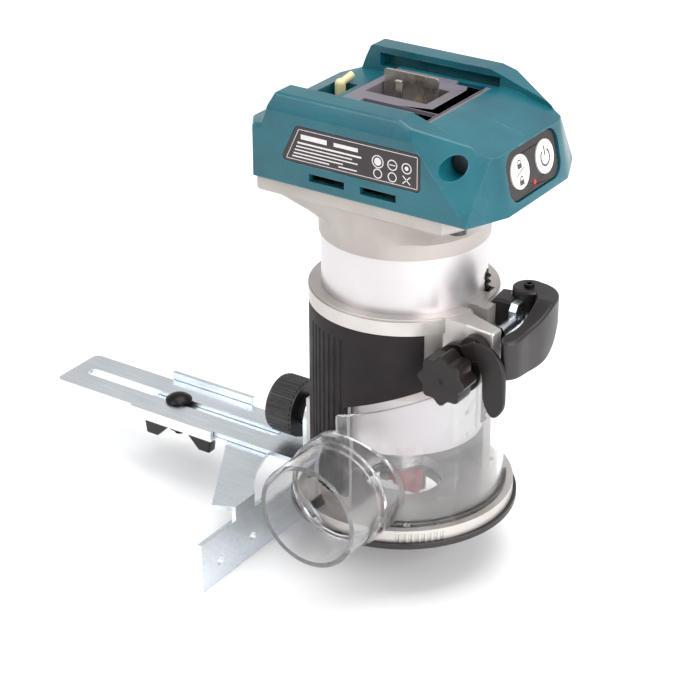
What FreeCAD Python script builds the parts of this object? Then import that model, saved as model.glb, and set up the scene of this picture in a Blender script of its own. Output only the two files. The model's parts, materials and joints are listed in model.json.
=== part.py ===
import FreeCAD, Part
import math
import os

os.makedirs("parts", exist_ok=True)

V = FreeCAD.Vector

# ---- driving dimensions, millimetres ------------------------------------
# Frame: the spindle axis is Z, the sole of the base is z = 0, the edge guide
# runs out along -X, the dust nozzle along -Y and the button panel faces +X.
BARREL_R = 32.5
BARREL_WALL = 3.0
BARREL_BOTTOM = 36.0
BARREL_TOP = 126.0
SPIGOT_R = 31.4
RUN = 0.05                    # radial running clearance

SOLE_R = 47.0
SOLE_T = 4.0
SOLE_BORE_R = 16.0
FLANGE_R = 45.5
FLANGE_TOP = 9.0
WALL_IN_R = 33.5
WALL_OUT_R = 36.8
RING_BOTTOM = 62.0
RING_TOP = 96.5
RING_R = 37.6
WINDOW_FROM = -95.0           # degrees round the base
WINDOW_TO = 40.0
GRIP_IN_R = 35.3
GRIP_OUT_R = 37.4
GRIP_TOP = 90.0
GRIP_BOTTOM = 14.0
GRIP_FROM = 100.0
GRIP_TO = 314.0
SPLIT_Y0 = -9.0
SPLIT_Y1 = -5.0

LUG_X = 53.0
LUG_Z0 = 80.0
LUG_Z1 = 96.0
BOLT_X = 48.5
BOLT_Z = 90.0
PIN_Y = 12.5

KNOB_X = 39.5                 # axis of the depth pinion, along Y
KNOB_Z = 79.0
RACK_PITCH = 2.5
TOOTH_HIGH = 1.3               # height of a rack tooth
ADDENDUM = 0.55                # tooth height beyond the pitch line
PINION_TEETH = 20
PINION_PITCH_R = PINION_TEETH * RACK_PITCH / (2 * math.pi)
PINION_R = PINION_PITCH_R + ADDENDUM
PINION_Y0 = 8.15
PINION_Y1 = 9.45
RACK_X = KNOB_X - PINION_PITCH_R + ADDENDUM      # tips of the rack's teeth
RACK_GROOVE_X = 33.6           # depth of the clearance groove in the ring
RACK_Y0 = 8.0
RACK_Y1 = 12.0

THUMB_X = 46.5
THUMB_Z = 89.0
THUMB_HUB_R = 5.6
HUB_R = 6.4                    # lever hub round its pin
HUB_Z0 = 88.6
HUB_Z1 = 101.0

TUBE_R = 21.5
TUBE_WALL = 2.0
TUBE_Z = 22.5
TUBE_END_Y = -68.0
SOCKET_DEEP = 20.0             # how far a hose end goes into the nozzle
SHIELD_IN_R = 39.2
SHIELD_OUT_R = 41.2

BAR_Z0 = 5.5
BAR_Z1 = 7.5
BAR_HALF = 13.9
BAR_END_X = -174.0
BAR_ROOT_X = -41.0
SLOT_HALF = 2.7
SLIDER_X0 = -130.0
SLIDER_X1 = -86.0
GUIDE_BOLT_X = -115.5
FENCE_X = -44.0
SHEET = 2.0
KNURL_R = 12.5
KNURL_Z = 24.0

HEAD_Z0 = 144.0
RAIL_TOP = 178.0
DECK_Z = 167.5
BLOCK_Z = 172.0
HEAD_HALF = 40.0
RAIL_IN = 28.0
SHELL = 2.6
DIAL_X = -21.0
DIAL_Y = 32.6
BRACKET_FRONT = 9.5            # how far the bracket stops short of the housing's front
BRACKET_SCREWS = ((-41.5, -24.0), (-41.5, 24.0), (39.0, -27.0), (39.0, 27.0))
SCREW_BOSSES = ((41.3, 163.6, 27.5, 4.2), (-46.8, 151.0, 28.5, 3.6))   # x, z, |y| of the seat, radius


# ---- helpers --------------------------------------------------------------
def box(x0, x1, y0, y1, z0, z1):
    return Part.makeBox(x1 - x0, y1 - y0, z1 - z0, V(x0, y0, z0))


def cyl(r, z0, z1, x=0.0, y=0.0):
    return Part.makeCylinder(r, z1 - z0, V(x, y, z0), V(0, 0, 1))


def cyl_x(r, x0, x1, y, z):
    return Part.makeCylinder(r, x1 - x0, V(x0, y, z), V(1, 0, 0))


def cyl_y(r, y0, y1, x, z):
    return Part.makeCylinder(r, y1 - y0, V(x, y0, z), V(0, 1, 0))


def cone(r0, r1, z0, z1, x=0.0, y=0.0):
    return Part.makeCone(r0, r1, z1 - z0, V(x, y, z0), V(0, 0, 1))


def tube(r0, r1, z0, z1, x=0.0, y=0.0):
    return cyl(r1, z0, z1, x, y).cut(cyl(r0, z0 - 1, z1 + 1, x, y))


def prism(points, direction):
    wire = Part.makePolygon(points + [points[0]])
    return Part.Face(wire).extrude(direction)


def prism_z(pts, z0, z1):
    return prism([V(x, y, z0) for x, y in pts], V(0, 0, z1 - z0))


def prism_y(pts, y0, y1):
    return prism([V(x, y0, z) for x, z in pts], V(0, y1 - y0, 0))


def prism_x(pts, x0, x1):
    return prism([V(x0, y, z) for y, z in pts], V(x1 - x0, 0, 0))


def sector(a0, a1, r, z0, z1):
    """A pie-shaped prism between two angles in degrees."""
    steps = max(2, int((a1 - a0) / 20.0))
    reach = r / math.cos(math.radians((a1 - a0) / steps / 2.0))
    pts = [(0.0, 0.0)]
    for i in range(steps + 1):
        a = math.radians(a0 + (a1 - a0) * i / steps)
        pts.append((reach * math.cos(a), reach * math.sin(a)))
    return prism_z(pts, z0, z1)


def arc_wall(r0, r1, z0, z1, a0, a1):
    return tube(r0, r1, z0, z1).common(sector(a0, a1, r1 + 5, z0 - 1, z1 + 1))


def polar(r, degrees):
    a = math.radians(degrees)
    return r * math.cos(a), r * math.sin(a)


def half_space(point, normal, size=400.0):
    """A big cylinder that fills the side of a plane its normal points to."""
    return Part.makeCylinder(size, size, V(*point), V(*normal))


def hex_prism_z(across, z0, z1, x=0.0, y=0.0):
    r = across / math.sqrt(3.0)
    pts = [(x + r * math.cos(math.radians(60 * i)), y + r * math.sin(math.radians(60 * i))) for i in range(6)]
    return prism_z(pts, z0, z1)


def join(shapes):
    out = shapes[0]
    for s in shapes[1:]:
        out = out.fuse(s)
    return out.removeSplitter()


def rounded(shape, r, picked):
    """Round the edges whose middle point the picked function accepts."""
    edges = []
    for e in shape.Edges:
        mid = e.valueAt((e.FirstParameter + e.LastParameter) / 2.0)
        if picked(mid):
            edges.append(e)
    return shape.makeFillet(r, edges)


def smooth_outline(pts, z):
    """A closed flat face bounded by one smooth curve through the points."""
    curve = Part.BSplineCurve()
    curve.interpolate(Points=[V(x, y, z) for x, y in pts], PeriodicFlag=True)
    return Part.Face(Part.Wire([curve.toShape()]))


def export(name, shape):
    shape.exportStep("parts/" + name + ".step")


# ---- base -----------------------------------------------------------------
def under_window_edge(size=80.0):
    """Everything below the sloping top edge of the window in the base."""
    pts = [(-size, -10.0), (size, -10.0), (size, 56.4 + 0.384 * size), (-size, 56.4 - 0.384 * size)]
    return prism_y(pts, -size, size)


def grip():
    wall = arc_wall(GRIP_IN_R, GRIP_OUT_R, GRIP_BOTTOM, GRIP_TOP, GRIP_FROM, GRIP_TO)
    step = sector(WINDOW_FROM + 360, GRIP_TO + 5, 60, 0, 100).common(under_window_edge())
    wall = wall.cut(step)
    for i in range(7):
        x, y = polar(GRIP_OUT_R + 0.5, 232 + 5 * i)
        wall = wall.cut(cyl(1.0, GRIP_BOTTOM - 1, GRIP_TOP - 6, x, y))
    pad = box(-41, -34, -13, 13, 0, 38)
    return wall.cut(pad)


def base_casting(rubber):
    flange = tube(17.0, FLANGE_R, SOLE_T, FLANGE_TOP)
    wall = arc_wall(WALL_IN_R, WALL_OUT_R, FLANGE_TOP - 0.5, RING_BOTTOM + 1, WINDOW_TO, WINDOW_FROM + 360)
    ring = tube(BARREL_R + RUN, WALL_OUT_R, RING_BOTTOM, RING_TOP)
    lip = tube(BARREL_R + RUN, RING_R, GRIP_TOP + 0.0, RING_TOP)
    lip = lip.cut(tube(RING_R - 0.8, RING_R + 1, RING_TOP - 0.8, RING_TOP + 1))
    upper = arc_wall(WALL_IN_R, WALL_OUT_R, 50, RING_BOTTOM, WINDOW_FROM, WINDOW_TO).cut(under_window_edge())
    pad = box(-39, -33, -12, 12, FLANGE_TOP - 0.5, 37)
    near_plan = [(20, -21), (40, -20.6), (52.6, -22.0), (LUG_X, -15.9), (41, -11.7),
                 (35, SPLIT_Y0), (20, SPLIT_Y0)]
    near = prism_z(near_plan, LUG_Z0, LUG_Z1)
    near = rounded(near, 1.2, lambda m: m.x > 36 and m.z > LUG_Z0 + 1)
    far = box(20, 40.5, SPLIT_Y1, 1.0, LUG_Z0, LUG_Z1)
    boss = cyl_y(8.5, -21.9, 1.0, KNOB_X, KNOB_Z)
    body = join([flange, wall, ring, lip, upper, pad, near, far, boss])
    body = body.cut(cyl(BARREL_R + RUN, RING_BOTTOM, 120))
    body = body.cut(cyl(WALL_IN_R, FLANGE_TOP, RING_BOTTOM))
    body = body.cut(box(20, 60, SPLIT_Y0, SPLIT_Y1, 40, 100))
    body = body.cut(box(28, RACK_GROOVE_X, RACK_Y0 - 0.6, RACK_Y1 + 0.6, 40, 100))
    body = body.cut(cyl_y(PINION_R + 0.5, PINION_Y0 - 0.7, RACK_Y1 + 0.6, KNOB_X, KNOB_Z))
    body = body.cut(cyl_y(4.0 + RUN, -30, 10, KNOB_X, KNOB_Z))
    body = body.cut(cyl_y(2.6, -30, 10, BOLT_X, BOLT_Z))
    body = body.cut(box(43.9, 60, -16.6, -5.0, BOLT_Z - 4.1, BOLT_Z + 4.1))
    body = body.cut(cyl_y(2.0, -30, -16, THUMB_X, THUMB_Z))
    body = body.cut(box(-60, -38.5, -15, 15, SOLE_T, FLANGE_TOP + 0.1))
    body = body.cut(box(-60, -39, -15, 15, FLANGE_TOP - 1, 40))
    body = body.cut(cyl_x(2.5, -45, -30, 0, KNURL_Z))
    body = body.cut(rubber)
    for a in (50, 130, 215, 305):
        x, y = polar(40.0, a)
        body = body.cut(cyl(1.6, 0, FLANGE_TOP + 1, x, y))
    for i in range(8):
        x, y = polar(FLANGE_R + 0.6, -60 + 3.2 * i)
        body = body.cut(cyl(1.0, SOLE_T, FLANGE_TOP - 1.2, x, y))
    return body


def sole():
    plate = tube(SOLE_BORE_R, SOLE_R, 0, SOLE_T)
    rim = cone(SOLE_R - 3.2, SOLE_R, 0.0, 1.6).fuse(cyl(SOLE_R, 1.6, SOLE_T))
    plate = plate.common(rim)
    for a in (50, 130, 215, 305):
        x, y = polar(40.0, a)
        plate = plate.cut(cyl(1.6, -1, SOLE_T + 1, x, y))
        plate = plate.cut(cone(3.6, 1.6, 0.0, 2.0, x, y))
    return plate


def sole_screws():
    out = []
    for a in (50, 130, 215, 305):
        x, y = polar(40.0, a)
        screw = cone(3.1, 1.5, 0.25, 1.9, x, y).fuse(cyl(1.5, 1.8, FLANGE_TOP - 1, x, y))
        screw = screw.cut(box(x - 2, x + 2, y - 0.4, y + 0.4, 0, 0.9))
        out.append(screw)
    return Part.makeCompound(out)


# ---- clear dust nozzle ------------------------------------------------------
def dust_nozzle():
    top = prism_y([(-80, -10), (80, -10), (80, 54 + 0.36 * 80), (-80, 54 - 0.36 * 80)], -80, 80)
    slab = arc_wall(SHIELD_IN_R, SHIELD_OUT_R, FLANGE_TOP, 66, WINDOW_FROM - 2, 34).common(top)
    foot = arc_wall(SHIELD_IN_R - 1.5, SHIELD_OUT_R + 1.5, FLANGE_TOP, FLANGE_TOP + 2, WINDOW_FROM - 2, 34)
    pipe = cyl_y(TUBE_R, TUBE_END_Y, -30, 0, TUBE_Z)
    collar = cyl_y(TUBE_R + 1.4, -47, -30, 0, TUBE_Z)
    socket = cyl_y(TUBE_R - TUBE_WALL, TUBE_END_Y - 1, TUBE_END_Y + SOCKET_DEEP, 0, TUBE_Z)
    bore = socket.fuse(cyl_y(TUBE_R - TUBE_WALL - 1.2, TUBE_END_Y, 0, 0, TUBE_Z))
    shape = join([slab, foot, pipe, collar])
    shape = shape.cut(cyl(SHIELD_IN_R, -5, 100).cut(cyl(SHIELD_IN_R, -5, FLANGE_TOP)))
    shape = shape.cut(cyl(SHIELD_IN_R, -5, 100))
    shape = shape.cut(cyl(FLANGE_R + 0.3, -5, FLANGE_TOP))
    shape = shape.cut(cyl(SOLE_R + 0.3, -5, SOLE_T + 0.3))
    return shape.cut(bore)


# ---- clamp, lever, knobs ------------------------------------------------------
def clamp_bolt():
    shank = cyl_y(2.5, -16.2, 3.0, BOLT_X, BOLT_Z)
    eye = cyl(4.6, 87.8, 92.2, BOLT_X, PIN_Y)
    neck = box(BOLT_X - 2.2, BOLT_X + 2.2, 2.0, PIN_Y - 3, 87.8, 92.2)
    strap_side = [(-0.4, 86.8), (5.8, 86.8), (5.8, 97.8), (1.4, 97.8), (-0.4, 95.2)]
    strap = prism_x(strap_side, BOLT_X - 1.5, BOLT_X + 1.5)
    return join([shank, neck, eye, strap]).cut(cyl(2.05, 80, 100, BOLT_X, PIN_Y))


def clamp_nut():
    corners = [math.radians(60 * i) for i in range(6)]
    pts = [V(BOLT_X + 4.5 * math.cos(a), -16.4, BOLT_Z + 4.5 * math.sin(a)) for a in corners]
    nut = prism(pts, V(0, 4.6, 0))
    return nut.cut(cyl_y(2.5, -20, -10, BOLT_X, BOLT_Z))


def cam_block():
    """The block that the lever's cam pushes against, hollowed round the bolt and the pinion."""
    block = prism_z([(39.0, 1.3), (47.0, 1.3), (47.0, 11.0), (42.8, 12.6), (37.6, 11.4)], 82.0, 98.0)
    block = rounded(block, 1.2, lambda m: m.z > 97.5 or (m.x > 46 and m.z > 83))
    block = block.cut(cyl(HUB_R + 0.4, 70, 110, BOLT_X, PIN_Y))
    block = block.cut(box(BOLT_X - 2.7, 60, 0, 20, 86.3, 93.0)).cut(cyl(BARREL_R + 5.3, 60, 110))
    block = block.cut(cyl_y(4.4, 0, 8, KNOB_X, KNOB_Z))
    return block.cut(cyl_y(PINION_R + 0.5, PINION_Y0 - 0.7, 15, KNOB_X, KNOB_Z))


LEVER_PLAN = ((48.5, 18.7), (54.5, 18.2), (59.5, 15.2), (62.6, 10.0), (64.0, 3.0), (64.2, -5.0),
              (63.0, -14.0), (61.4, -22.6), (58.9, -24.7), (56.4, -22.6), (57.2, -14.0),
               (57.3, -5.0), (56.4, 2.0),
              (54.6, 6.8), (51.6, 9.4), (48.0, 11.0), (45.6, 14.5))
LEVER_TOP = ((-30, 95.0), (-22, 95.4), (-10, 97.2), (0, 100.0), (5, HUB_Z1))
LEVER_BOTTOM = ((10, HUB_Z0), (6.5, 84.2), (1, 80.4), (-6, 78.9), (-18, 78.9), (-30, 79.6))


def lever_side(x0, x1):
    """The lever's outline seen from the front, as a block between two x values."""
    edges = []
    for pts in (LEVER_TOP, LEVER_BOTTOM):
        curve = Part.BSplineCurve()
        curve.interpolate([V(x0, y, z) for y, z in pts])
        edges.append(curve.toShape())
    behind = [LEVER_TOP[-1], (25, HUB_Z1), (25, HUB_Z0), LEVER_BOTTOM[0]]
    front = [LEVER_BOTTOM[-1], LEVER_TOP[0]]
    hub_end = Part.makePolygon([V(x0, y, z) for y, z in behind])
    tip_end = Part.makePolygon([V(x0, y, z) for y, z in front])
    outline = Part.Wire([edges[0]] + hub_end.Edges + [edges[1]] + tip_end.Edges)
    return Part.Face(outline).extrude(V(x1 - x0, 0, 0))


def locking_lever():
    """A curved arm that sweeps from its hub round the front of the clamp."""
    arm = smooth_outline(LEVER_PLAN, 70.0).extrude(V(0, 0, 40))
    arm = rounded(arm.common(lever_side(30, 80)), 1.2, lambda m: True)
    hub = rounded(cyl(HUB_R, HUB_Z0, HUB_Z1, BOLT_X, PIN_Y), 0.8, lambda m: m.z > HUB_Z1 - 0.5)
    lever = join([arm, hub])
    lever = lever.cut(cyl(5.2, HUB_Z0 - 2, 92.6, BOLT_X, PIN_Y))
    lever = lever.cut(box(38, BOLT_X + 3.0, 0, PIN_Y + 3.0, HUB_Z0 - 2, 92.6))
    lever = lever.cut(box(38, 52.0, 0, 25, 70, HUB_Z0))
    return lever.cut(cyl(2.0, 70, 105, BOLT_X, PIN_Y))


def lever_pin():
    pin = cyl(2.0, 87.2, 102.2, BOLT_X, PIN_Y)
    return pin.cut(cyl(1.0, 100, 110, BOLT_X, PIN_Y))


def star_knob():
    pts = []
    for i in range(48):
        a = 2 * math.pi * i / 48.0
        r = 9.3 + 0.9 * math.cos(8 * a)
        pts.append(V(KNOB_X + r * math.cos(a), -37.5, KNOB_Z + r * math.sin(a)))
    star = rounded(prism(pts, V(0, 9.3, 0)), 0.5, lambda m: m.y < -37.4)
    dimple = Part.makeSphere(1.2, V(KNOB_X, -38.0, KNOB_Z))
    return star.cut(dimple).cut(cyl_y(3.0, -34.0, -20, KNOB_X, KNOB_Z))


def pinion_profile():
    """Corner points of the toothed wheel, with a tooth space facing the rack."""
    pts = []
    for i in range(PINION_TEETH):
        a = math.pi + 2 * math.pi * (i + 0.5) / PINION_TEETH
        root = PINION_R - TOOTH_HIGH
        for r, w in ((root, -0.77), (PINION_R, -0.3), (PINION_R, 0.3), (root, 0.77)):
            x = KNOB_X + r * math.cos(a) - w * math.sin(a)
            z = KNOB_Z + r * math.sin(a) + w * math.cos(a)
            pts.append(V(x, PINION_Y0, z))
    return pts


def pinion():
    shaft = cyl_y(4.0, -25.3, PINION_Y0 + 0.1, KNOB_X, KNOB_Z)
    stub = cyl_y(3.0, -34.0, -25.2, KNOB_X, KNOB_Z)
    shoulder = cyl_y(4.6, -28.2, -25.3, KNOB_X, KNOB_Z)
    gear = prism(pinion_profile(), V(0, PINION_Y1 - PINION_Y0, 0))
    return join([stub, shoulder, shaft, gear])


def pinion_cover():
    disc = cyl_y(9.8, -24.6, -22.0, KNOB_X, KNOB_Z)
    disc = disc.cut(cyl_y(4.3, -30, -20, KNOB_X, KNOB_Z))
    return disc.cut(cyl_y(THUMB_HUB_R + 0.3, -30, -20, THUMB_X, THUMB_Z))


def thumb_screw():
    """A wing screw: round hub, square cap and one long rounded wing."""
    hub = cyl_y(THUMB_HUB_R, -26.4, -22.4, THUMB_X, THUMB_Z)
    cap = box(THUMB_X - 3.7, THUMB_X + 3.7, -27.7, -26.3, THUMB_Z - 3.7, THUMB_Z + 3.7)
    cap.rotate(V(THUMB_X, 0, THUMB_Z), V(0, 1, 0), -32)
    cap = rounded(cap, 0.5, lambda m: m.y < -27.6)
    shank = cyl_y(1.95, -22.5, -17.2, THUMB_X, THUMB_Z)
    pts = [(48.5, 93.6), (54.0, 92.2), (58.4, 88.6), (60.6, 82.0), (60.9, 74.0), (60.0, 67.6), (56.4, 64.2),
           (53.0, 67.6), (51.6, 74.0), (50.6, 82.0), (47.5, 87.5)]
    wing = smooth_outline(pts, -27.75).extrude(V(0, 0, 2.7))
    wing = rounded(wing, 0.9, lambda m: True)
    wing.rotate(V(0, 0, 0), V(1, 0, 0), 90)
    wing.translate(V(0, -52.8, 0))
    return join([hub, cap, wing, shank])


# ---- edge guide ---------------------------------------------------------------
def guide_bar():
    bar = box(BAR_END_X, BAR_ROOT_X + 2, -BAR_HALF, BAR_HALF, BAR_Z0, BAR_Z1)
    for s in (-1, 1):
        y0, y1 = sorted((s * (BAR_HALF - 3), s * BAR_HALF))
        corner = box(BAR_END_X, BAR_END_X + 3, y0, y1, 5, 8)
        bar = bar.cut(corner.cut(cyl(3.0, 4, 9, BAR_END_X + 3, s * (BAR_HALF - 3))))
    slot = box(-164, -64, -SLOT_HALF, SLOT_HALF, 4, 9)
    bar = bar.cut(slot).cut(cyl(SLOT_HALF, 4, 9, -164, 0)).cut(cyl(SLOT_HALF, 4, 9, -64, 0))
    tab = box(BAR_ROOT_X, BAR_ROOT_X + 2, -11.8, 11.8, BAR_Z0, 26)
    tab = tab.fuse(cyl_x(11.8, BAR_ROOT_X, BAR_ROOT_X + 2, 0, KNURL_Z))
    shape = join([bar, tab])
    return shape.cut(cyl_x(2.8, -50, -30, 0, KNURL_Z))


def guide_knob():
    knob = cyl_x(KNURL_R - 0.5, -60.0, -47.0, 0, KNURL_Z)
    for i in range(30):
        a = math.radians(12 * i)
        rib = cyl_x(0.9, -59.0, -48.0, (KNURL_R - 0.9) * math.cos(a), KNURL_Z + (KNURL_R - 0.9) * math.sin(a))
        knob = knob.fuse(rib)
    hub = cyl_x(6.5, -47.2, -43.0, 0, KNURL_Z)
    return join([knob, hub]).cut(cyl_x(2.0, -56.0, -40, 0, KNURL_Z))


def guide_screw():
    return join([cyl_x(2.0, -56.0, -42.9, 0, KNURL_Z), cyl_x(2.45, -43.0, -34.0, 0, KNURL_Z)])


def guide_washer():
    return cyl_x(7.5, -42.7, -41.0, 0, KNURL_Z).cut(cyl_x(2.8, -45, -40, 0, KNURL_Z))


def guide_slider():
    plate = box(SLIDER_X0, -58.5, -BAR_HALF, BAR_HALF, BAR_Z0 - SHEET - 0.2, BAR_Z0 - 0.2)
    z0 = BAR_Z0 - SHEET - 0.2
    flanges = []
    for s in (-1, 1):
        outer = s * (BAR_HALF + 0.25 + SHEET)
        y0, y1 = sorted((s * (BAR_HALF + 0.25), outer))
        top = 11.0 if s > 0 else 8.2
        flanges.append(box(SLIDER_X0, SLIDER_X1, y0, y1, z0, top))
        y0, y1 = sorted((s * (BAR_HALF - 1), outer))
        flanges.append(box(SLIDER_X0, SLIDER_X1, y0, y1, z0, z0 + SHEET))
    arm_plan = [(-79, -12), (-79, -14), (-53, -59), (FENCE_X, -55), (FENCE_X, -42), (-49, -36),
                (-54, -27), (-58.5, -14), (-58.5, -12)]
    arm = prism_z(arm_plan, z0, z0 + SHEET)
    web = box(FENCE_X - SHEET, FENCE_X, -55, -42, -2, z0 + SHEET)
    fence = box(FENCE_X - SHEET, FENCE_X, -78, 18, -23, -1.0)
    shape = join([plate, arm, web, fence] + flanges)
    shape = shape.cut(cyl(2.7, -5, 10, GUIDE_BOLT_X, 0))
    for y in (-66, -44, 4):
        shape = shape.cut(cyl_x(2.0, FENCE_X - 5, FENCE_X + 5, y, -14))
    return shape


def guide_bolt():
    dome = Part.makeSphere(8.0, V(GUIDE_BOLT_X, 0, BAR_Z1 + 3.4 - 8.0))
    dome = dome.common(cyl(5.8, BAR_Z1 + 0.1, 20, GUIDE_BOLT_X, 0))
    neck = box(GUIDE_BOLT_X - 2.5, GUIDE_BOLT_X + 2.5, -2.45, 2.45, BAR_Z0, BAR_Z1 + 0.2)
    shank = cyl(2.5, -8.0, BAR_Z0 + 0.1, GUIDE_BOLT_X, 0)
    return join([dome, neck, shank])


def guide_wing_nut():
    hub = cyl(5.0, -5.5, BAR_Z0 - SHEET - 0.3, GUIDE_BOLT_X, 0)
    wings = []
    for s in (-1, 1):
        pts = [(GUIDE_BOLT_X + s * 3, 1.5), (GUIDE_BOLT_X + s * 3, -4.5), (GUIDE_BOLT_X + s * 11.5, -13.0),
               (GUIDE_BOLT_X + s * 17.5, -13.0), (GUIDE_BOLT_X + s * 18.5, -6.0),
               (GUIDE_BOLT_X + s * 10, 1.0)]
        wings.append(rounded(prism_y(pts, -2.4, 2.4), 1.0, lambda m: abs(m.x - GUIDE_BOLT_X) > 5))
    return join([hub] + wings).cut(cyl(2.56, -10, 8, GUIDE_BOLT_X, 0))


# ---- motor unit -----------------------------------------------------------------
def motor_barrel():
    can = tube(BARREL_R - BARREL_WALL, BARREL_R, BARREL_BOTTOM, BARREL_TOP - 7)
    spigot = tube(BARREL_R - BARREL_WALL, SPIGOT_R, BARREL_TOP - 8, BARREL_TOP)
    floor = tube(8.0, BARREL_R - 1, BARREL_BOTTOM, BARREL_BOTTOM + 4)
    nose = tube(11.0, 18.0, BARREL_BOTTOM - 8, BARREL_BOTTOM + 10)
    floor2 = tube(8.0, 18.0, BARREL_BOTTOM - 8, BARREL_BOTTOM - 6)
    body = join([can, spigot, floor.cut(cyl(11.0, 0, 100)), nose, floor2])
    body = body.cut(box(RACK_X - 3.4, 40, RACK_Y0 - 0.02, RACK_Y1 + 0.02, 37.98, 104.02))
    body = body.cut(arc_wall(BARREL_R - 0.2, BARREL_R + 1, 38, 62, -22, 12))
    body = body.cut(cyl_y(3.0 + RUN, 0, 30, 0, BARREL_BOTTOM - 2))
    return body


def rack():
    root = RACK_X - TOOTH_HIGH
    bar = box(RACK_X - 3.4, root + 0.1, RACK_Y0, RACK_Y1, 38, 104)
    for i in range(26):
        z = KNOB_Z + RACK_PITCH * (i - 16)
        pts = [(root, z - 0.85), (RACK_X, z - 0.35), (RACK_X, z + 0.35), (root, z + 0.85)]
        bar = bar.fuse(prism_y(pts, RACK_Y0, RACK_Y1))
    return bar.removeSplitter()


def scale_tape():
    return arc_wall(BARREL_R - 0.2, BARREL_R - 0.02, 38, 62, -22, 12)


HEAD_PLAN = [(-53.0, -20.0), (-51.0, -28.0), (-42.5, -40.0), (50.0, -40.0), (57.5, -23.0),
             (57.5, 23.0), (50.0, 40.0), (-42.5, 40.0), (-51.0, 28.0), (-53.0, 20.0)]


def plan_inset(d):
    """The head plan with its sides moved in by about d."""
    out = []
    for x, y in HEAD_PLAN:
        share = 1.0 if abs(x) > 52 else 0.75
        out.append((x - d * math.copysign(share, x), y * (HEAD_HALF - d) / HEAD_HALF))
    return out


def head_solid(d=0.0):
    """The housing outline; d moves every side in to make the inside."""
    side = [(-53.0 + d, HEAD_Z0 - 0.1), (57.5 - d, HEAD_Z0 - 0.1), (52.4 - d, 167.5 - d),
            (37.0 - d, 172.5 - d), (20.0 - d, RAIL_TOP - d), (-33.9 + d, RAIL_TOP - d),
            (-36.2 + d, 173.2 - d), (-39.2 + d, 165.4 - d),
            (-49.0 + d, 163.4 - d), (-53.0 + d, 160.4 - d)]
    front = [(-HEAD_HALF + d, HEAD_Z0 - 0.1), (HEAD_HALF - d, HEAD_Z0 - 0.1), (HEAD_HALF - d, 172.0 - d),
             (37.5 - d, RAIL_TOP - d), (-37.5 + d, RAIL_TOP - d), (-HEAD_HALF + d, 172.0 - d)]
    solid = prism_z(plan_inset(d), HEAD_Z0, 190)
    solid = solid.common(prism_y(side, -60, 60)).common(prism_x(front, -70, 70))
    for s in (-1, 1):
        solid = solid.cut(half_space((50.0 - d, s * (40.0 - d), 145.0), (408, s * 168, 85)))
        solid = solid.cut(half_space((44.0 - d, s * (40.0 - d), 152.0), (120, s * 170, 105)))
    return solid


def deck_channel(extra=0.0):
    """The space between the two rails, down to the deck."""
    low = box(-70, -19.5, -RAIL_IN, RAIL_IN, DECK_Z - extra, 200)
    high = prism_y([(-19.6, BLOCK_Z - extra), (29.0, BLOCK_Z - extra), (60.0, 164.4 - extra), (60.0, 200),
            (-19.6, 200)],
                   -RAIL_IN, RAIL_IN)
    return low.fuse(high)


def undercut():
    cuts = []
    for s in (-1, 1):
        y0 = s * (RAIL_IN - 1)
        y1 = s * (RAIL_IN + 5.5)
        cuts.append(box(-30, 24, min(y0, y1), max(y0, y1), 170.0, 175.4))
    return cuts[0].fuse(cuts[1])


def head_shell():
    shell = rounded(head_solid(), 1.8, lambda m: m.z > 164.0).cut(deck_channel())
    inside = head_solid(SHELL).cut(deck_channel(SHELL)).cut(box(46.0, 70, -50, 50, 140, HEAD_Z0 + SHELL))
    inside = inside.cut(box(-70, 70, RAIL_IN - SHELL, 60, 165, 200)).cut(box(-70, 70, -60,
            SHELL - RAIL_IN, 165, 200))
    shell = shell.cut(inside)
    for x, z, edge, r in SCREW_BOSSES:
        post = cyl_y(r + 1.6, -39.9, 39.9, x, z).common(head_solid(0.4)).cut(deck_channel())
        shell = shell.fuse(post)
    shell = shell.cut(undercut())
    for x, y in BRACKET_SCREWS:
        rib = box(x - 1.5, x + 1.5, min(y, math.copysign(39, y)), max(y, math.copysign(39, y)), HEAD_Z0,
                152.0)
        boss = cyl(4.4, HEAD_Z0, 153.0, x, y).fuse(rib).common(head_solid(0.6))
        shell = shell.fuse(boss)
    for x, y in BRACKET_SCREWS:
        shell = shell.cut(cyl(2.0, HEAD_Z0 - 1, 152.2, x, y))
    shell = shell.cut(box(-19.5, 22.5, -24.5, 24.5, 160, 200))
    shell = shell.cut(box(-38.5, -28.5, -10, 10.3, 160, 200))
    shell = shell.cut(plate_shape(0.2, -41, -39.6))
    for x0 in (-17.1, 5.2):
        shell = shell.cut(box(x0, x0 + 15.6, -42, -30, 147.2, 150.2))
    for x, z, edge, r in SCREW_BOSSES:
        for s in (-1, 1):
            shell = shell.cut(cyl_y(r, min(s * edge, s * 42), max(s * edge, s * 42), x, z))
    shell = shell.cut(panel_recess())
    for y in (-9.2, 9.2):
        shell = shell.cut(lean(cyl_x(6.7, 52.0, 55.0, y, 157.0)))
    shell = shell.cut(box(-30.4, -11.6, 36, 42, 152.6, 158.4))
    return shell


def shell_half(shell, side):
    y0, y1 = (-60, 0) if side < 0 else (0, 60)
    return shell.common(box(-100, 100, y0, y1, 100, 200))


def lean(shape):
    """Turn a shape drawn on a vertical front plane to the leaning front face."""
    out = shape.copy()
    out.rotate(V(57.5, 0, 145.0), V(0, 1, 0), -12.8)
    return out


def rounded_block(x0, x1, y0, y1, z0, z1, r):
    core = box(x0, x1, y0 + r, y1 - r, z0, z1).fuse(box(x0, x1, y0, y1, z0 + r, z1 - r))
    for y in (y0 + r, y1 - r):
        for z in (z0 + r, z1 - r):
            core = core.fuse(cyl_x(r, x0, x1, y, z))
    return core.removeSplitter()


def panel_recess():
    return lean(rounded_block(54.5, 60, -19.2, 19.2, 147.0, 166.2, 6.0))


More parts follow.
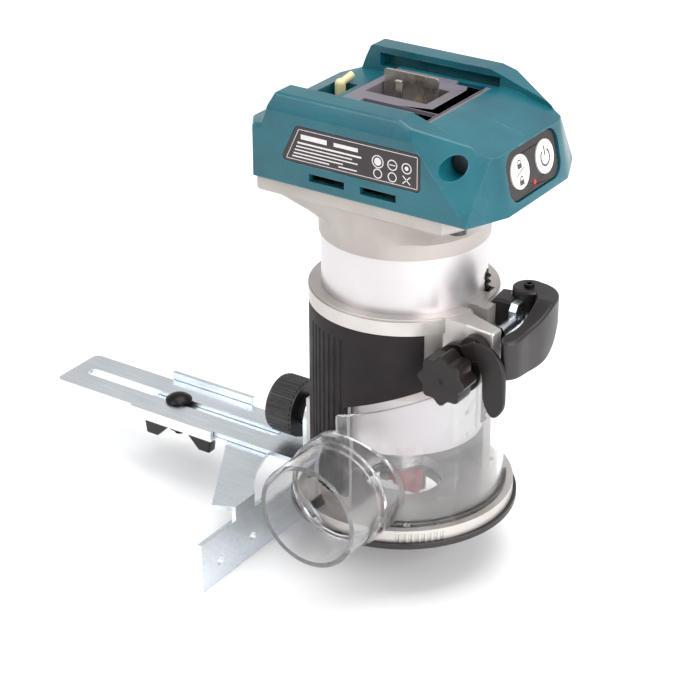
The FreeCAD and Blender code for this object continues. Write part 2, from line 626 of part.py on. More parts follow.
def panel_ring():
    pad = rounded_block(54.5, 56.6, -18.9, 18.9, 147.3, 165.9, 5.7)
    pad = pad.cut(cyl_x(6.4 + RUN, 50, 60, -9.2, 157.0)).cut(cyl_x(6.4 + RUN, 50, 60, 9.2, 157.0))
    pad = pad.cut(cyl_x(0.9, 50, 60, 0.0, 150.2))
    return lean(pad)


def press_button(y):
    cap = cyl_x(6.4, 54.9, 57.0, y, 157.0)
    return lean(cap)


def status_led():
    return lean(cyl_x(0.9, 54.5, 56.7, 0.0, 150.2))


def terminal_block():
    block = box(-19.5, 22.5, -24.5, 24.5, 163.0, BLOCK_Z)
    block = block.cut(box(-16, 11, -4, 13, 164.5, 180))
    block = block.cut(box(20.4, 21.0, -21, 21, 171.2, 173))
    block = block.cut(box(8, 20, -26, -21, 167, 180))
    block = block.cut(box(8, 20, 21, 26, 167, 180))
    return block.cut(box(-12, 20, -14, -11, 166, 180))


def blades():
    return rounded(box(-15.0, 9.0, 7.6, 8.5, 164.5, 177.8), 1.2,
            lambda m: m.z > 177 and abs(m.y - 8.05) < 0.1)


def signal_tab():
    foot = box(-4.7, 2.0, -0.4, 3.0, 164.5, 165.5)
    up = box(-4.7, -1.9, -0.4, 0.4, 164.5, 177.4)
    curl = box(-4.7, -1.9, -1.4, 0.4, 176.8, 177.4)
    return join([foot, up, curl])


def latch_buffer():
    """A bent rubber stop that rises out of its recess and leans over the deck."""
    knee = V(-34.6, 7.0, 167.8)
    lean_way = V(0.3, 1.0, 0.42)
    post = cyl(2.1, 158.0, knee.z, knee.x, knee.y)
    arm = Part.makeCylinder(1.5, 6.5, knee, lean_way)
    foot = box(-38.3, -30.0, 4.0, 10.1, 157.0, 160.0)
    return join([post, Part.makeSphere(2.1, knee), arm, foot])


def bracket_plan(d):
    """The bracket's outline: the housing's, but with the front end held back."""
    return [(x - BRACKET_FRONT if x > 0 else x, y) for x, y in plan_inset(d)]


def bracket():
    plate = rounded(prism_z(bracket_plan(1.2), 137.6, HEAD_Z0), 2.0, lambda m: m.z < 138)
    skirt = cyl(33.4, BARREL_TOP - 7.0, 129.0)
    low, high = [], []
    n = len(HEAD_PLAN)
    steps = 4
    for i in range(n):
        x0, y0 = bracket_plan(3.0)[i]
        x1, y1 = bracket_plan(3.0)[(i + 1) % n]
        for k in range(steps):
            t = k / float(steps)
            x, y = x0 + (x1 - x0) * t, y0 + (y1 - y0) * t
            a = math.atan2(y, x)
            high.append(V(x * 0.96, y * 0.97, 138.6))
            low.append(V(33.4 * math.cos(a), 33.4 * math.sin(a), 125.0))
    flare = Part.makeLoft([Part.makePolygon(low + [low[0]]), Part.makePolygon(high + [high[0]])], True, True)
    body = plate.fuse(flare).fuse(skirt)
    body = body.cut(cyl(SPIGOT_R, 110, BARREL_TOP)).cut(cyl(BARREL_R - BARREL_WALL, 100, 160))
    body = body.fuse(cyl(3.2, 143.0, 152.6, DIAL_X, DIAL_Y)).cut(cyl(1.5 + RUN, 148.4, 153, DIAL_X, DIAL_Y))
    for x, y in BRACKET_SCREWS:
        body = body.cut(cyl(4.6, 120, 139.0, x, y)).cut(cyl(2.1, 120, 150, x, y))
    return body.removeSplitter()


def bracket_screws():
    out = []
    for x, y in BRACKET_SCREWS:
        screw = cyl(3.6, 135.6, 139.0, x, y).fuse(cyl(2.0, 138.9, 152.0, x, y))
        screw = screw.cut(hex_prism_z(3.2, 134, 137.4, x, y))
        out.append(screw)
    return Part.makeCompound(out)


def housing_screws():
    out = []
    for x, z, edge, r in SCREW_BOSSES:
        for s in (-1, 1):
            head = cyl_y(r - 0.9, min(s * edge, s * (edge + 2.0)), max(s * edge, s * (edge + 2.0)), x, z)
            out.append(head)
    return Part.makeCompound(out)


def plate_shape(grow, y0, y1):
    """The label's outline, with a slanting left edge and rounded corners."""
    pts = [(-29.7 - grow, 153.5 - grow), (31.0 + grow, 153.5 - grow), (30.7 + grow, 167.8 + grow),
            (-22.4 - grow, 167.8 + grow)]
    plate = prism_y(pts, y0, y1)
    return rounded(plate, 1.8, lambda m: abs(m.y - (y0 + y1) / 2.0) < 0.01)


def rating_plate():
    return plate_shape(0.0, -39.98, -39.6)


def controller():
    return box(-36.5, 45.5, -22.0, 22.0, HEAD_Z0, 157.0)


def stator():
    ring = tube(15.2, BARREL_R - BARREL_WALL, 60, 96)
    for i in range(6):
        x, y = polar(18.5, 60 * i)
        ring = ring.cut(cyl(2.6, 59, 97, x, y))
    return ring


def lower_bearing():
    return tube(6.0 + RUN, 11.0, 37.0, 46.0)


def upper_bearing():
    return tube(4.0 + RUN, 9.5, 108.0, 115.0)


def bearing_plate():
    return tube(9.5, 29.5, 106.0, 116.0).cut(tube(16, 26, 109, 120))


def speed_dial():
    wheel = cyl(9.0, 152.9, 158.1, DIAL_X, DIAL_Y)
    for i in range(24):
        a = math.radians(15 * i)
        wheel = wheel.cut(cyl(0.5, 150, 160, DIAL_X + 9.1 * math.cos(a), DIAL_Y + 9.1 * math.sin(a)))
    return wheel.fuse(cyl(1.5, 148.6, 159.0, DIAL_X, DIAL_Y)).removeSplitter()


def shaft_lock():
    return cyl_y(3.0, 12.5, 21.3, 0, BARREL_BOTTOM - 2)


# ---- rotating parts ------------------------------------------------------------
def spindle():
    shaft = cyl(4.0, 96, 118).fuse(cyl(6.0, 26, 97))
    taper = cyl(6.5, 20, 28.0)
    return join([shaft, taper]).cut(cyl(3.95, 10, 40)).cut(cone(5.6, 3.95, 19.9, 27.0))


def rotor():
    return tube(6.0, 14.6, 60, 96)


def fan():
    disc = tube(6.0, 14.0, 52.0, 54.0)
    blades_ = [disc]
    for i in range(10):
        blade = box(6.5, 26.0, -0.6, 0.6, 50.0, 57.5)
        blade.rotate(V(0, 0, 0), V(0, 0, 1), 36 * i)
        blades_.append(blade)
    ring = tube(6.0, 26.5, 49.0, 50.4)
    return join(blades_ + [ring]).cut(cyl(6.0, 40, 60))


def collet_cone():
    cone_ = cone(5.4, 4.0, 20.3, 26.6).fuse(cyl(3.9, 26.5, 36.0)).fuse(cyl(5.4, 18.4, 20.4))
    return cone_.cut(cyl(3.0, 10, 40))


def collet_nut():
    nut = hex_prism_z(17.0, 16.0, 26.0).common(cyl(9.4, 15, 27))
    return nut.cut(cyl(6.5, 17.8, 30)).cut(cyl(3.3, 10, 30))


def cutter_shank():
    return cyl(3.0, 6.0, 35.0)


def cutter_body():
    core = cyl(4.0, 2.5, 12.0)
    wings = box(-8.6, 8.6, -2.4, 2.4, 3.0, 12.0)
    return join([core, wings]).cut(cyl(3.0, 5.9, 20))


def cutter_tips():
    out = []
    for s in (-1, 1):
        y0, y1 = sorted((s * 2.4, s * 3.6))
        x0, x1 = sorted((s * 5.0, s * 9.4))
        out.append(box(x0, x1, y0, y1, 2.8, 12.0))
    return Part.makeCompound(out)


def main():
    rubber = grip()
    shell = head_shell()
    nodes = {
        "base_casting": base_casting(rubber),
        "base_sole": sole(),
        "sole_screws": sole_screws(),
        "rubber_grip": rubber,
        "dust_nozzle": dust_nozzle(),
        "clamp_bolt": clamp_bolt(),
        "clamp_nut": clamp_nut(),
        "cam_block": cam_block(),
        "locking_lever": locking_lever(),
        "lever_pin": lever_pin(),
        "star_knob": star_knob(),
        "pinion": pinion(),
        "pinion_cover": pinion_cover(),
        "thumb_screw": thumb_screw(),
        "guide_bar": guide_bar(),
        "guide_knob": guide_knob(),
        "guide_screw": guide_screw(),
        "guide_washer": guide_washer(),
        "guide_slider": guide_slider(),
        "guide_bolt": guide_bolt(),
        "guide_wing_nut": guide_wing_nut(),
        "motor_barrel": motor_barrel(),
        "depth_rack": rack(),
        "scale_tape": scale_tape(),
        "motor_bracket": bracket(),
        "bracket_screws": bracket_screws(),
        "housing_near": shell_half(shell, -1),
        "housing_far": shell_half(shell, 1),
        "housing_screws": housing_screws(),
        "rating_plate": rating_plate(),
        "button_panel": panel_ring(),
        "lock_button": press_button(-9.2),
        "power_button": press_button(9.2),
        "status_led": status_led(),
        "terminal_block": terminal_block(),
        "power_blades": blades(),
        "signal_tab": signal_tab(),
        "latch_buffer": latch_buffer(),
        "controller": controller(),
        "stator": stator(),
        "lower_bearing": lower_bearing(),
        "upper_bearing": upper_bearing(),
        "bearing_plate": bearing_plate(),
        "speed_dial": speed_dial(),
        "shaft_lock": shaft_lock(),
        "spindle": spindle(),
        "rotor": rotor(),
        "fan": fan(),
        "collet_cone": collet_cone(),
        "collet_nut": collet_nut(),
        "cutter_shank": cutter_shank(),
        "cutter_body": cutter_body(),
        "cutter_tips": cutter_tips(),
    }
    for name, shape in nodes.items():
        box_ = shape.BoundBox
        print("%-16s solids %d valid %s vol %9.0f  x %.1f..%.1f y %.1f..%.1f z %.1f..%.1f" % (
            name, len(shape.Solids), shape.isValid(), shape.Volume, box_.XMin, box_.XMax,
            box_.YMin, box_.YMax, box_.ZMin, box_.ZMax))
        export(name, shape)


main()
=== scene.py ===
import json
import math

import bmesh
import bpy
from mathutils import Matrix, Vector


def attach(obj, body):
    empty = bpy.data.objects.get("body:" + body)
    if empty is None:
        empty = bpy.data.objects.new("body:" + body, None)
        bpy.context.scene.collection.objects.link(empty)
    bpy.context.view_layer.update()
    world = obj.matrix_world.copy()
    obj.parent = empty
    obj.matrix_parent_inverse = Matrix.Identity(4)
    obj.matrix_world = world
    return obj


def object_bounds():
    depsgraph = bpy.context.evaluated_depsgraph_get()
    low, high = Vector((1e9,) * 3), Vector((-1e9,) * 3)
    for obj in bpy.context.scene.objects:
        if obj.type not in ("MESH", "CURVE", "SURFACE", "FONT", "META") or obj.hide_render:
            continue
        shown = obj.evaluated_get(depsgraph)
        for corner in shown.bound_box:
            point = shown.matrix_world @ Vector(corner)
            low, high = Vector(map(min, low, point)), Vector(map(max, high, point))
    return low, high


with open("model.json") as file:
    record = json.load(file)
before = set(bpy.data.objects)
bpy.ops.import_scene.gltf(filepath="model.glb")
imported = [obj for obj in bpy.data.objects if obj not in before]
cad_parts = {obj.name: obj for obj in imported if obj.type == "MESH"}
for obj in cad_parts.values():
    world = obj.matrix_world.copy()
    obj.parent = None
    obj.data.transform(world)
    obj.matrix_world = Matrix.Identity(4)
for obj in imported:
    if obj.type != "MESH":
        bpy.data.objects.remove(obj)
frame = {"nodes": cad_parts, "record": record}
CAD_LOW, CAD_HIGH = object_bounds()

MM = 0.001
NODES = frame["nodes"]


# ---- material helpers ---------------------------------------------------------
def linear(c):
    """An 8-bit sRGB triple as linear light."""
    out = []
    for v in c:
        v = v / 255.0
        out.append(v / 12.92 if v <= 0.04045 else ((v + 0.055) / 1.055) ** 2.4)
    return (*out, 1.0)


class Look:
    """One node material, with short names for the nodes that are used often."""

    def __init__(self, name, rgb, rough=0.5, metal=0.0, **sockets):
        self.mat = bpy.data.materials.new(name)
        self.mat.use_nodes = True
        self.tree = self.mat.node_tree
        self.bsdf = self.tree.nodes["Principled BSDF"]
        self.bsdf.inputs["Base Color"].default_value = linear(rgb)
        self.bsdf.inputs["Roughness"].default_value = rough
        self.bsdf.inputs["Metallic"].default_value = metal
        for key, value in sockets.items():
            self.bsdf.inputs[key.replace("_", " ")].default_value = value
        self.mat.diffuse_color = linear(rgb)
        self._coord = None

    def add(self, kind, **values):
        node = self.tree.nodes.new("ShaderNode" + kind)
        for key, value in values.items():
            if hasattr(node, key):
                setattr(node, key, value)
            else:
                node.inputs[key.replace("_", " ")].default_value = value
        return node

    def link(self, a, b):
        self.tree.links.new(a, b)

    def coord(self):
        if self._coord is None:
            self._coord = self.add("TexCoord").outputs["Object"]
        return self._coord

    def stretched(self, scale):
        node = self.add("Mapping")
        node.inputs["Scale"].default_value = scale
        self.link(self.coord(), node.inputs["Vector"])
        return node.outputs["Vector"]

    def noise(self, scale, detail=3.0, rough=0.5, stretch=None):
        node = self.add("TexNoise")
        node.inputs["Scale"].default_value = scale
        node.inputs["Detail"].default_value = detail
        node.inputs["Roughness"].default_value = rough
        self.link(self.stretched(stretch) if stretch else self.coord(), node.inputs["Vector"])
        return node.outputs["Fac"]

    def math(self, op, a, b=None):
        node = self.add("Math", operation=op)
        for i, v in enumerate((a, b)):
            if v is None:
                continue
            if isinstance(v, (int, float)):
                node.inputs[i].default_value = v
            else:
                self.link(v, node.inputs[i])
        return node.outputs[0]

    def ranged(self, value, lo, hi, to_lo, to_hi):
        node = self.add("MapRange")
        for key, v in (("From Min", lo), ("From Max", hi), ("To Min", to_lo), ("To Max", to_hi)):
            node.inputs[key].default_value = v
        self.link(value, node.inputs["Value"])
        return node.outputs["Result"]

    def mixed(self, fac, a, b):
        node = self.add("Mix", data_type="RGBA")
        self.link(fac, node.inputs[0])
        for i, v in ((6, a), (7, b)):
            if isinstance(v, tuple):
                node.inputs[i].default_value = v
            else:
                self.link(v, node.inputs[i])
        return node.outputs[2]

    def color(self, socket):
        self.link(socket, self.bsdf.inputs["Base Color"])

    def roughness(self, socket):
        self.link(socket, self.bsdf.inputs["Roughness"])

    def bump(self, height, distance, strength=1.0):
        node = self.add("Bump")
        node.inputs["Strength"].default_value = strength
        node.inputs["Distance"].default_value = distance
        self.link(height, node.inputs["Height"])
        self.link(node.outputs["Normal"], self.bsdf.inputs["Normal"])

    def worn_edge(self, radius=0.0007):
        """A mask that is 1 on sharp outer edges, broken up by noise."""
        soft = self.add("Bevel", samples=4)
        soft.inputs["Radius"].default_value = radius
        flat = self.add("NewGeometry").outputs["Normal"]
        same = self.add("VectorMath", operation="DOT_PRODUCT")
        self.link(soft.outputs["Normal"], same.inputs[0])
        self.link(flat, same.inputs[1])
        edge = self.ranged(same.outputs["Value"], 0.985, 0.86, 0.0, 1.0)
        patches = self.ranged(self.noise(240.0, 4.0, 0.6), 0.42, 0.62, 0.0, 1.0)
        return self.math("MULTIPLY", edge, patches)

    def mottled(self, rgb_a, rgb_b, scale, lo=0.35, hi=0.65, edge=0.0):
        """Base colour that drifts between two close colours, paler where edges are rubbed."""
        fac = self.ranged(self.noise(scale, 4.0), lo, hi, 0.0, 1.0)
        mix = self.mixed(fac, linear(rgb_a), linear(rgb_b))
        if edge > 0.0:
            pale = linear([v + (255 - v) * 0.45 for v in rgb_b])
            mix = self.mixed(self.math("MULTIPLY", self.worn_edge(), edge), mix, pale)
        self.color(mix)


def moulded(name, rgb, light, rough=0.42, grain=1700.0, depth=0.00004, edge=0.35, **kw):
    """Spark-textured moulded plastic with a slight colour drift and rubbed edges."""
    look = Look(name, rgb, rough, **kw)
    look.mottled(rgb, light, 35.0, edge=edge)
    look.roughness(look.ranged(look.noise(90.0, 5.0), 0.3, 0.7, rough - 0.06, rough + 0.08))
    look.bump(look.noise(grain, 2.0), depth, 0.55)
    return look


def brushed(name, rgb, light, rough, stretch, depth=0.00002, metal=1.0, **kw):
    """Metal with fine scratches along one direction."""
    look = Look(name, rgb, rough, metal, **kw)
    look.mottled(rgb, light, 25.0)
    lines = look.noise(900.0, 3.0, 0.6, stretch)
    look.roughness(look.ranged(lines, 0.3, 0.7, rough - 0.08, rough + 0.1))
    look.bump(lines, depth, 0.5)
    return look


def cast(name, rgb, light, rough, depth=0.00006, metal=0.75, **kw):
    """Cast metal with a fine even grain."""
    look = Look(name, rgb, rough, metal, **kw)
    look.mottled(rgb, light, 45.0)
    grain = look.noise(1300.0, 4.0, 0.65)
    look.roughness(look.ranged(look.noise(120.0, 4.0), 0.3, 0.7, rough - 0.07, rough + 0.07))
    look.bump(grain, depth, 0.6)
    return look


def turned(name, rgb, light, rough):
    """Smooth turned aluminium with faint tool rings round the axis."""
    look = Look(name, rgb, rough, 0.85)
    look.mottled(rgb, light, 18.0)
    rings = look.noise(700.0, 2.0, 0.5, (0.01, 0.01, 1.0))
    drift = look.noise(30.0, 3.0)
    blend = look.math("ADD", look.math("MULTIPLY", rings, 0.35), look.math("MULTIPLY", drift, 0.65))
    look.roughness(look.ranged(blend, 0.3, 0.7, rough - 0.04, rough + 0.05))
    look.bump(rings, 0.000004, 0.4)
    return look


LOOKS = {
    "teal_plastic": moulded("teal_plastic", (8, 78, 90), (14, 92, 104), 0.28),
    "bracket_grey": cast("bracket_grey", (160, 153, 148), (173, 166, 161), 0.42, metal=0.3),
    "cast_base": cast("cast_base", (188, 182, 178), (201, 196, 192), 0.36, metal=0.6),
    "barrel_aluminium": turned("barrel_aluminium", (200, 195, 196), (210, 206, 207), 0.36),
    "sole_black": moulded("sole_black", (22, 18, 19), (31, 26, 27), 0.42),
    "steel_screw": brushed("steel_screw", (60, 60, 62), (82, 82, 84), 0.35, (1.0, 1.0, 1.0)),
    "grip_rubber": moulded("grip_rubber", (17, 9, 11), (24, 15, 18), 0.6, 1400.0, 0.00006, 0.15,
                           Specular_IOR_Level=0.32),
    "zinc_steel": brushed("zinc_steel", (212, 219, 225), (226, 232, 237), 0.3, (0.05, 1.0, 1.0)),
    "black_steel": brushed("black_steel", (30, 28, 29), (44, 42, 43), 0.34, (1.0, 1.0, 0.2)),
    "black_plastic": moulded("black_plastic", (24, 20, 21), (32, 27, 28), 0.36),
    "knob_plastic": moulded("knob_plastic", (22, 15, 16), (30, 22, 23), 0.42, edge=0.2,
                            Specular_IOR_Level=0.38),
    "scale_film": moulded("scale_film", (214, 213, 212), (222, 221, 220), 0.3),
    "plate_dark": moulded("plate_dark", (34, 26, 30), (40, 31, 35), 0.24, 2600.0, 0.000012, 0.0),
    "button_white": moulded("button_white", (214, 210, 202), (222, 218, 210), 0.34, 2400.0, 0.00001, 0.0),
    "led_red": moulded("led_red", (190, 24, 20), (205, 30, 26), 0.2, 2400.0, 0.00001, 0.0),
    "terminal_grey": moulded("terminal_grey", (96, 90, 99), (106, 100, 109), 0.45),
    "contact_metal": brushed("contact_metal", (196, 189, 176), (208, 202, 189), 0.3, (0.4, 0.4, 0.4),
                             0.000006),
    "cream_rubber": moulded("cream_rubber", (214, 204, 156), (222, 212, 166), 0.5, edge=0.0),
    "potting": moulded("potting", (26, 30, 28), (34, 38, 36), 0.5, edge=0.0),
    "lamination": brushed("lamination", (120, 120, 124), (140, 140, 144), 0.4, (0.05, 0.05, 1.0)),
    "bearing_steel": brushed("bearing_steel", (205, 205, 208), (215, 215, 218), 0.18, (0.05, 0.05, 1.0)),
    "fan_plastic": moulded("fan_plastic", (40, 40, 44), (48, 48, 52), 0.45, edge=0.0),
    "tool_steel": brushed("tool_steel", (180, 180, 184), (196, 196, 200), 0.26, (0.05, 0.05, 1.0)),
    "cutter_red": moulded("cutter_red", (170, 18, 34), (184, 24, 40), 0.35),
    "carbide": brushed("carbide", (120, 120, 124), (135, 135, 140), 0.22, (1.0, 0.1, 1.0)),
}


def clear_look():
    """Thin clear moulding: mostly see-through, with a faint haze and light scuffs."""
    look = Look("clear_plastic", (246, 245, 246), 0.03)
    look.bsdf.inputs["Transmission Weight"].default_value = 0.96
    look.bsdf.inputs["IOR"].default_value = 1.42
    look.bsdf.inputs["Coat Weight"].default_value = 0.45
    look.bsdf.inputs["Alpha"].default_value = 0.9
    look.bsdf.inputs["Coat Roughness"].default_value = 0.05
    look.mottled((240, 240, 242), (249, 248, 249), 30.0)
    look.roughness(look.ranged(look.noise(160.0, 5.0), 0.35, 0.75, 0.01, 0.05))
    look.bump(look.noise(50.0, 2.0), 0.00001, 0.15)
    return look


LOOKS["clear_plastic"] = clear_look()


def ink(name, rgb, rough=0.45):
    """Printed ink: a thin, slightly uneven film."""
    look = Look(name, rgb, rough)
    look.mottled(rgb, [min(255, v + 10) for v in rgb], 300.0)
    look.bump(look.noise(2500.0, 2.0), 0.000004, 0.3)
    return look


WHITE_INK = ink("white_ink", (206, 200, 200))
DARK_INK = ink("dark_ink", (62, 58, 60))


# ---- CAD nodes ------------------------------------------------------------------
def even_shading(angle=28.0):
    """A modifier that welds a mesh and shades it smooth up to an angle, sharp beyond it."""
    group = bpy.data.node_groups.new("even_shading", "GeometryNodeTree")
    group.interface.new_socket("Geometry", in_out="INPUT", socket_type="NodeSocketGeometry")
    group.interface.new_socket("Geometry", in_out="OUTPUT", socket_type="NodeSocketGeometry")
    start = group.nodes.new("NodeGroupInput")
    end = group.nodes.new("NodeGroupOutput")
    weld = group.nodes.new("GeometryNodeMergeByDistance")
    weld.inputs["Distance"].default_value = 2e-6
    clear = group.nodes.new("GeometryNodeSetMeshNormal")
    clear.mode = "SHARPNESS"
    clear.inputs["Remove Custom"].default_value = True
    turn = group.nodes.new("GeometryNodeInputMeshEdgeAngle")
    sharp = group.nodes.new("FunctionNodeCompare")
    sharp.operation = "GREATER_THAN"
    sharp.inputs[1].default_value = math.radians(angle)
    links = group.links
    links.new(start.outputs[0], weld.inputs["Geometry"])
    links.new(weld.outputs["Geometry"], clear.inputs["Mesh"])
    links.new(turn.outputs["Unsigned Angle"], sharp.inputs[0])
    links.new(sharp.outputs[0], clear.inputs["Edge Sharpness"])
    links.new(clear.outputs["Mesh"], end.inputs[0])
    return group


SHADING = even_shading()
ROUNDING = {"housing_near": 0.7, "housing_far": 0.7, "base_casting": 0.45, "locking_lever": 0.3,
            "motor_bracket": 0.6, "dust_nozzle": 0.5, "star_knob": 0.5, "guide_knob": 0.3}


def soften(obj, width_mm=0.3, segments=3, angle=32.0):
    """Small rounded edges on a CAD node, and smooth shading over its facets."""
    smooth = obj.modifiers.new("shading", "NODES")
    smooth.node_group = SHADING
    bevel = obj.modifiers.new("bevel", "BEVEL")
    bevel.width = width_mm * MM
    bevel.segments = segments
    bevel.limit_method = "ANGLE"
    bevel.angle_limit = math.radians(angle)
    bevel.harden_normals = True
    bevel.use_clamp_overlap = True


def dress_nodes():
    """Each CAD node takes the look of its material slot."""
    slots = {s["node"]: s["material_slot"] for s in frame["record"]["subparts"]}
    for name, obj in NODES.items():
        mat = LOOKS[slots[name]].mat
        obj.data.materials.clear()
        obj.data.materials.append(mat)
        soften(obj, ROUNDING.get(name, 0.3))


dress_nodes()


# ---- printed marks ------------------------------------------------------------------
LEAN = math.radians(12.8)       # how far the button panel leans back
PANEL_X = 57.5                  # foot of the panel's lean
PANEL_Z = 145.0
BUTTON_FACE_X = 57.0            # button faces and their middle height before the lean
BUTTON_Z = 157.0
BUTTON_Y = 9.2
PLATE_Y = -39.98
BARREL_R = 32.5
SCALE_Z = 39.0
CORNER_OUT = Vector((408.0, -168.0, 85.0)).normalized()
CORNER_POINT = Vector((50.0, -40.0, 145.0))
CORNER_MIDDLE = Vector((52.0, -28.6, 153.7))


def line(u0, v0, u1, v1, w):
    """A straight stroke as one four-cornered outline."""
    run = math.hypot(u1 - u0, v1 - v0)
    nu, nv = -(v1 - v0) / run * w / 2, (u1 - u0) / run * w / 2
    return [(u0 + nu, v0 + nv), (u0 - nu, v0 - nv), (u1 - nu, v1 - nv), (u1 + nu, v1 + nv)]


def arc(cu, cv, r, w, a0=0.0, a1=360.0, steps=28):
    """A curved stroke as a run of short four-cornered outlines."""
    out = []
    for i in range(steps):
        t0 = math.radians(a0 + (a1 - a0) * i / steps)
        t1 = math.radians(a0 + (a1 - a0) * (i + 1) / steps)
        inner, outer = r - w / 2, r + w / 2
        out.append([(cu + inner * math.cos(t0), cv + inner * math.sin(t0)),
                    (cu + outer * math.cos(t0), cv + outer * math.sin(t0)),
                    (cu + outer * math.cos(t1), cv + outer * math.sin(t1)),
                    (cu + inner * math.cos(t1), cv + inner * math.sin(t1))])
    return out


def disc(cu, cv, r, steps=28):
    """A filled circle as one outline."""
    return [[(cu + r * math.cos(2 * math.pi * i / steps), cv + r * math.sin(2 * math.pi * i / steps))
             for i in range(steps)]]


def printed(name, outlines, place, body, look, thick=0.05):
    """Thin raised shapes laid on a surface; place(u, v, h) gives a point in millimetres."""
    mesh = bpy.data.meshes.new(name)
    bm = bmesh.new()
    for pts in outlines:
        low = [bm.verts.new(Vector(place(u, v, -0.01)) * MM) for u, v in pts]
        high = [bm.verts.new(Vector(place(u, v, thick)) * MM) for u, v in pts]
        bm.faces.new(high)
        bm.faces.new(list(reversed(low)))
        for i in range(len(pts)):
            k = (i + 1) % len(pts)
            bm.faces.new((low[i], low[k], high[k], high[i]))
    bmesh.ops.recalc_face_normals(bm, faces=bm.faces)
    bm.to_mesh(mesh)
    bm.free()
    obj = bpy.data.objects.new(name, mesh)
    bpy.context.scene.collection.objects.link(obj)
    obj.data.materials.append(look.mat)
    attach(obj, body)


def on_plate(u, v, h):
    """u along the rating plate, v the height."""
    return u, PLATE_Y - h, v


def on_panel(u, v, h):
    """u across the buttons, v up the leaning panel, h out from a button's face."""
    x, z = BUTTON_FACE_X + h - PANEL_X, BUTTON_Z + v - PANEL_Z
    out = PANEL_X + math.cos(LEAN) * x - math.sin(LEAN) * z
    return out, u, PANEL_Z + math.sin(LEAN) * x + math.cos(LEAN) * z


def on_barrel(u, v, h):
    """u in millimetres round the barrel from the +X side, v the height."""
    r = BARREL_R + h
    return r * math.cos(u / BARREL_R), r * math.sin(u / BARREL_R), v


def on_corner(u, v, h):
    """The facet between the label side and the button panel."""
    along = Vector((0, 0, 1)).cross(CORNER_OUT).normalized()
    up = CORNER_OUT.cross(along)
    middle = CORNER_MIDDLE - CORNER_OUT * (CORNER_MIDDLE - CORNER_POINT).dot(CORNER_OUT)
    return tuple(middle + along * u + up * v + CORNER_OUT * h)


def label_marks():
    """A plain ruled layout: a border, bars of different lengths and round icons."""
    shapes = [line(-27.0, 154.6, 29.8, 154.6, 0.22), line(-21.4, 166.7, 29.6, 166.7, 0.22)]
    shapes += [line(29.7, 154.6, 29.6, 166.7, 0.22), line(-27.0, 154.6, -21.4, 166.7, 0.22)]
    rows = ((164.0, -20.5, -9.0, 1.9), (164.0, -6.0, 4.5, 1.5), (161.5, -22.0, 6.0, 0.7),
            (160.0, -22.6, 2.0, 0.5), (158.6, -23.2, 4.4, 0.5), (157.2, -23.8, -2.0, 0.5),
            (155.9, -24.4, -8.0, 0.5), (155.9, -4.0, 4.0, 0.5))
    for z, x0, x1, w in rows:
        shapes.append(line(x0, z, x1, z, w))
    rings = ((13.0, 161.6, 2.3), (19.2, 161.6, 1.9), (25.2, 161.6, 1.9),
             (13.0, 157.0, 1.7), (19.2, 157.0, 1.7))
    for x, z, r in rings:
        shapes += arc(x, z, r, 0.4)
    shapes += disc(13.0, 161.6, 1.5) + disc(25.2, 161.6, 0.8)
    shapes.append(line(17.9, 161.6, 20.5, 161.6, 0.35))
    shapes += [line(23.6, 155.6, 26.8, 158.6, 0.4), line(23.6, 158.6, 26.8, 155.6, 0.4)]
    printed("label_marks", shapes, on_plate, "motor", WHITE_INK, 0.015)


def padlock(u, v, turn):
    """One filled padlock; turn swings the shackle open."""
    body = [line(u - 1.5, v - 0.75, u + 1.5, v - 0.75, 1.8)]
    return body + arc(u + 0.5 * math.sin(math.radians(turn)), v + 0.35, 1.1, 0.45, turn, 180.0 + turn, 14)


def button_marks():
    """A power sign on one button; a closed padlock over an open one on the other."""
    y = BUTTON_Y
    power = arc(y, -0.3, 3.1, 0.75, 125, 415) + [line(y, 0.4, y, 4.0, 0.75)]
    printed("power_sign", power, on_panel, "power_button", DARK_INK)
    locks = padlock(-y, 2.9, 0.0) + padlock(-y, -3.3, 24.0)
    locks.append(line(-y - 2.6, -1.1, -y + 2.6, 1.0, 0.35))
    printed("lock_signs", locks, on_panel, "lock_button", DARK_INK)


def depth_scale():
    """Millimetre ticks and plain figures on the barrel's scale."""
    ticks = []
    for i in range(23):
        z = SCALE_Z + i
        reach = 4.2 if i % 10 == 0 else 3.0 if i % 5 == 0 else 2.0
        ticks.append(line(3.0 - reach, z, 3.0, z, 0.22))
    ticks.append(line(3.2, 38.6, 3.2, 61.6, 0.22))
    printed("depth_ticks", ticks, on_barrel, "motor", DARK_INK, 0.02)
    for mark in (0, 10, 20):
        figure(str(mark), -3.6, SCALE_Z + mark)


def figure(text, u, z):
    """A plain number wrapped onto the barrel."""
    curve = bpy.data.curves.new("figure_" + text, "FONT")
    curve.body = text
    curve.size = 2.6
    curve.align_x = "RIGHT"
    curve.align_y = "CENTER"
    curve.extrude = 0.01
    flat = bpy.data.objects.new("flat_" + text, curve)
    mesh = bpy.data.meshes.new_from_object(flat)
    bpy.data.objects.remove(flat)
    for vert in mesh.vertices:
        vert.co = Vector(on_barrel(u + vert.co.x, z + vert.co.y, 0.012 + vert.co.z)) * MM
    mesh.materials.clear()
    mesh.materials.append(DARK_INK.mat)
    obj = bpy.data.objects.new("figure_" + text, mesh)
    bpy.context.scene.collection.objects.link(obj)
    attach(obj, "motor")


def corner_mark():
    """A faint moulded crescent beside the button panel."""
    crescent = arc(0.0, 0.0, 2.2, 0.5, 110, 250, 16)
    printed("corner_mark", crescent, on_corner, "motor", LOOKS["teal_plastic"])


label_marks()
button_marks()
depth_scale()
corner_mark()


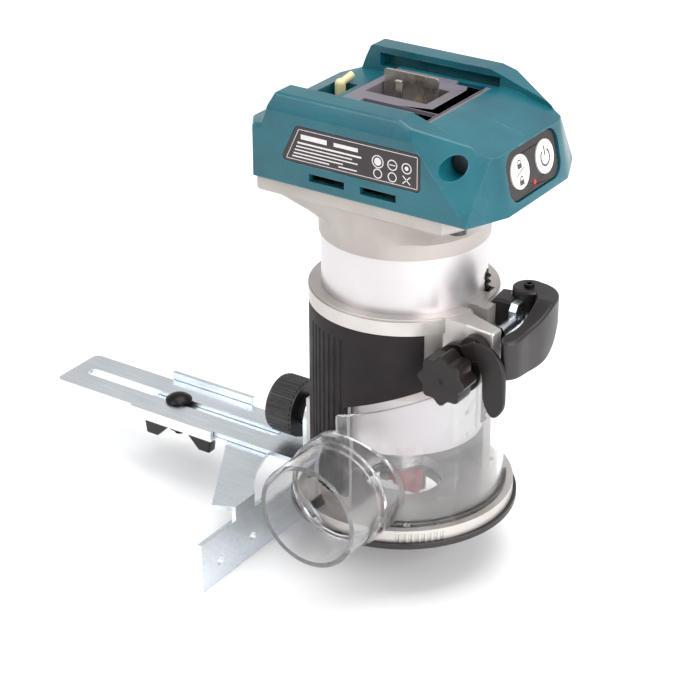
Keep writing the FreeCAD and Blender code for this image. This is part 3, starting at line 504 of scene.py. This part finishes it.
# ---- stage ------------------------------------------------------------------------
def camera():
    data = bpy.data.cameras.new("camera")
    data.lens = 102.857
    data.sensor_width = 36.0
    data.shift_y = -30.0 / 700.0
    data.clip_start = 0.05
    data.clip_end = 20.0
    cam = bpy.data.objects.new("camera", data)
    bpy.context.scene.collection.objects.link(cam)
    cam.location = (0.3734, -0.6004, 0.4282)
    cam.rotation_mode = "QUATERNION"
    cam.rotation_quaternion = Vector((-0.4959, 0.7465, -0.4436)).to_track_quat("-Z", "Y")
    bpy.context.scene.camera = cam


def floor():
    """A wide pale floor just under the lowest point."""
    mesh = bpy.data.meshes.new("floor")
    s = 6.0
    z = CAD_LOW.z - 0.0002
    mesh.from_pydata([(-s, -s, z), (s, -s, z), (s, s, z), (-s, s, z)], [], [(0, 1, 2, 3)])
    obj = bpy.data.objects.new("floor", mesh)
    bpy.context.scene.collection.objects.link(obj)
    look = Look("floor", (250, 250, 250), 0.7)
    look.mottled((249, 249, 249), (252, 252, 252), 4.0)
    obj.data.materials.append(look.mat)


def area(name, place, target, size, watts):
    """A rectangular lamp at one point, turned towards another."""
    data = bpy.data.lights.new(name, "AREA")
    data.shape = "RECTANGLE"
    data.size, data.size_y = size
    data.energy = watts
    obj = bpy.data.objects.new(name, data)
    bpy.context.scene.collection.objects.link(obj)
    obj.location = place
    obj.rotation_mode = "QUATERNION"
    obj.rotation_quaternion = (Vector(target) - Vector(place)).to_track_quat("-Z", "Y")


def lights():
    """An even white surround with a key, a fill and a top lamp."""
    world = bpy.data.worlds.new("world")
    bpy.context.scene.world = world
    world.use_nodes = True
    back = world.node_tree.nodes["Background"]
    back.inputs["Color"].default_value = (1.0, 1.0, 1.0, 1.0)
    back.inputs["Strength"].default_value = 0.7
    area("key", (-0.7, -0.9, 1.1), (0, 0, 0.08), (0.7, 0.9), 6.0)
    area("fill", (1.1, -0.35, 0.45), (0, 0, 0.09), (0.8, 1.0), 13.0)
    area("top", (0.1, 0.2, 1.5), (0, 0, 0.1), (1.2, 1.2), 17.0)


camera()
floor()
lights()
bpy.context.scene.view_settings.view_transform = "Standard"
